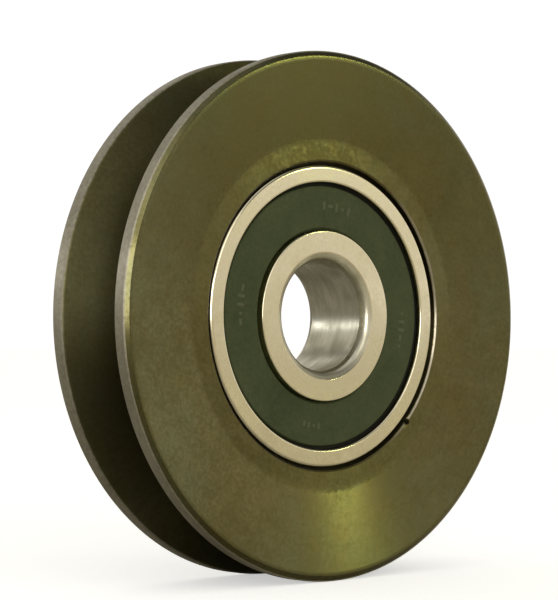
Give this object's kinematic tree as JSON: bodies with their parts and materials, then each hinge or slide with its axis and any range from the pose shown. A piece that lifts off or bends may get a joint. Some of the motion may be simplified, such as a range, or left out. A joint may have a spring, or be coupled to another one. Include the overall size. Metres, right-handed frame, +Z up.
{
  "type": "belt tensioner idler",
  "caption": "Turned steel V-belt idler pulley pressed onto a sealed deep-groove ball bearing with a plain shaft bore.",
  "frame": {"origin": "centre of the bearing bore, midway between the bearing's faces", "axes": "+Y is the spin axis and points to the rear, the front of the pulley faces -Y, +Z is up"},
  "size_m": [0.0818, 0.0178, 0.0818],
  "materials": {
    "pulley_steel": "turned steel with an olive-brown oxide finish, bare metal at the rim corners",
    "ring_steel": "ground bearing steel",
    "seal_rubber": "moulded nitrile rubber, satin",
    "insert_steel": "pressed sheet",
    "ball_steel": "lapped bearing steel",
    "cage_steel": "pressed sheet, tumbled",
    "rivet_steel": "upset wire"
  },
  "bodies": {
    "inner_ring": {"inner_ring": "ring_steel"},
    "pulley": {"pulley_body": "pulley_steel", "outer_ring": "ring_steel", "front_seal_rubber": "seal_rubber", "front_seal_insert": "insert_steel", "rear_seal_rubber": "seal_rubber", "rear_seal_insert": "insert_steel"},
    "cage": {"cage_front_half": "cage_steel", "cage_rear_half": "cage_steel", "cage_rivets": "rivet_steel"},
    "ball_1": {"ball_1": "ball_steel"},
    "ball_2": {"ball_2": "ball_steel"},
    "ball_3": {"ball_3": "ball_steel"},
    "ball_4": {"ball_4": "ball_steel"},
    "ball_5": {"ball_5": "ball_steel"},
    "ball_6": {"ball_6": "ball_steel"},
    "ball_7": {"ball_7": "ball_steel"}
  },
  "joints": [
    {"name": "pulley_spin", "type": "hinge", "parent": "inner_ring", "child": "pulley", "pos_m": [0, 0, 0], "axis": [0, 1, 0], "continuous": true},
    {"name": "cage_spin", "type": "hinge", "parent": "inner_ring", "child": "cage", "pos_m": [0, 0, 0], "axis": [0, 1, 0], "continuous": true},
    {"name": "ball_1_spin", "type": "hinge", "parent": "cage", "child": "ball_1", "pos_m": [0, 0, 0.016], "axis": [0, 1, 0], "continuous": true},
    {"name": "ball_2_spin", "type": "hinge", "parent": "cage", "child": "ball_2", "pos_m": [-0.01251, 0, 0.00998], "axis": [0, 1, 0], "continuous": true},
    {"name": "ball_3_spin", "type": "hinge", "parent": "cage", "child": "ball_3", "pos_m": [-0.0156, 0, -0.00356], "axis": [0, 1, 0], "continuous": true},
    {"name": "ball_4_spin", "type": "hinge", "parent": "cage", "child": "ball_4", "pos_m": [-0.00694, 0, -0.01442], "axis": [0, 1, 0], "continuous": true},
    {"name": "ball_5_spin", "type": "hinge", "parent": "cage", "child": "ball_5", "pos_m": [0.00694, 0, -0.01442], "axis": [0, 1, 0], "continuous": true},
    {"name": "ball_6_spin", "type": "hinge", "parent": "cage", "child": "ball_6", "pos_m": [0.0156, 0, -0.00356], "axis": [0, 1, 0], "continuous": true},
    {"name": "ball_7_spin", "type": "hinge", "parent": "cage", "child": "ball_7", "pos_m": [0.01251, 0, 0.00998], "axis": [0, 1, 0], "continuous": true}
  ],
  "couplings": [
    {"joint": "cage_spin", "follows": "pulley_spin", "ratio": 0.63642},
    {"joint": "ball_1_spin", "follows": "pulley_spin", "ratio": 1.6961},
    {"joint": "ball_2_spin", "follows": "pulley_spin", "ratio": 1.6961},
    {"joint": "ball_3_spin", "follows": "pulley_spin", "ratio": 1.6961},
    {"joint": "ball_4_spin", "follows": "pulley_spin", "ratio": 1.6961},
    {"joint": "ball_5_spin", "follows": "pulley_spin", "ratio": 1.6961},
    {"joint": "ball_6_spin", "follows": "pulley_spin", "ratio": 1.6961},
    {"joint": "ball_7_spin", "follows": "pulley_spin", "ratio": 1.6961}
  ]
}
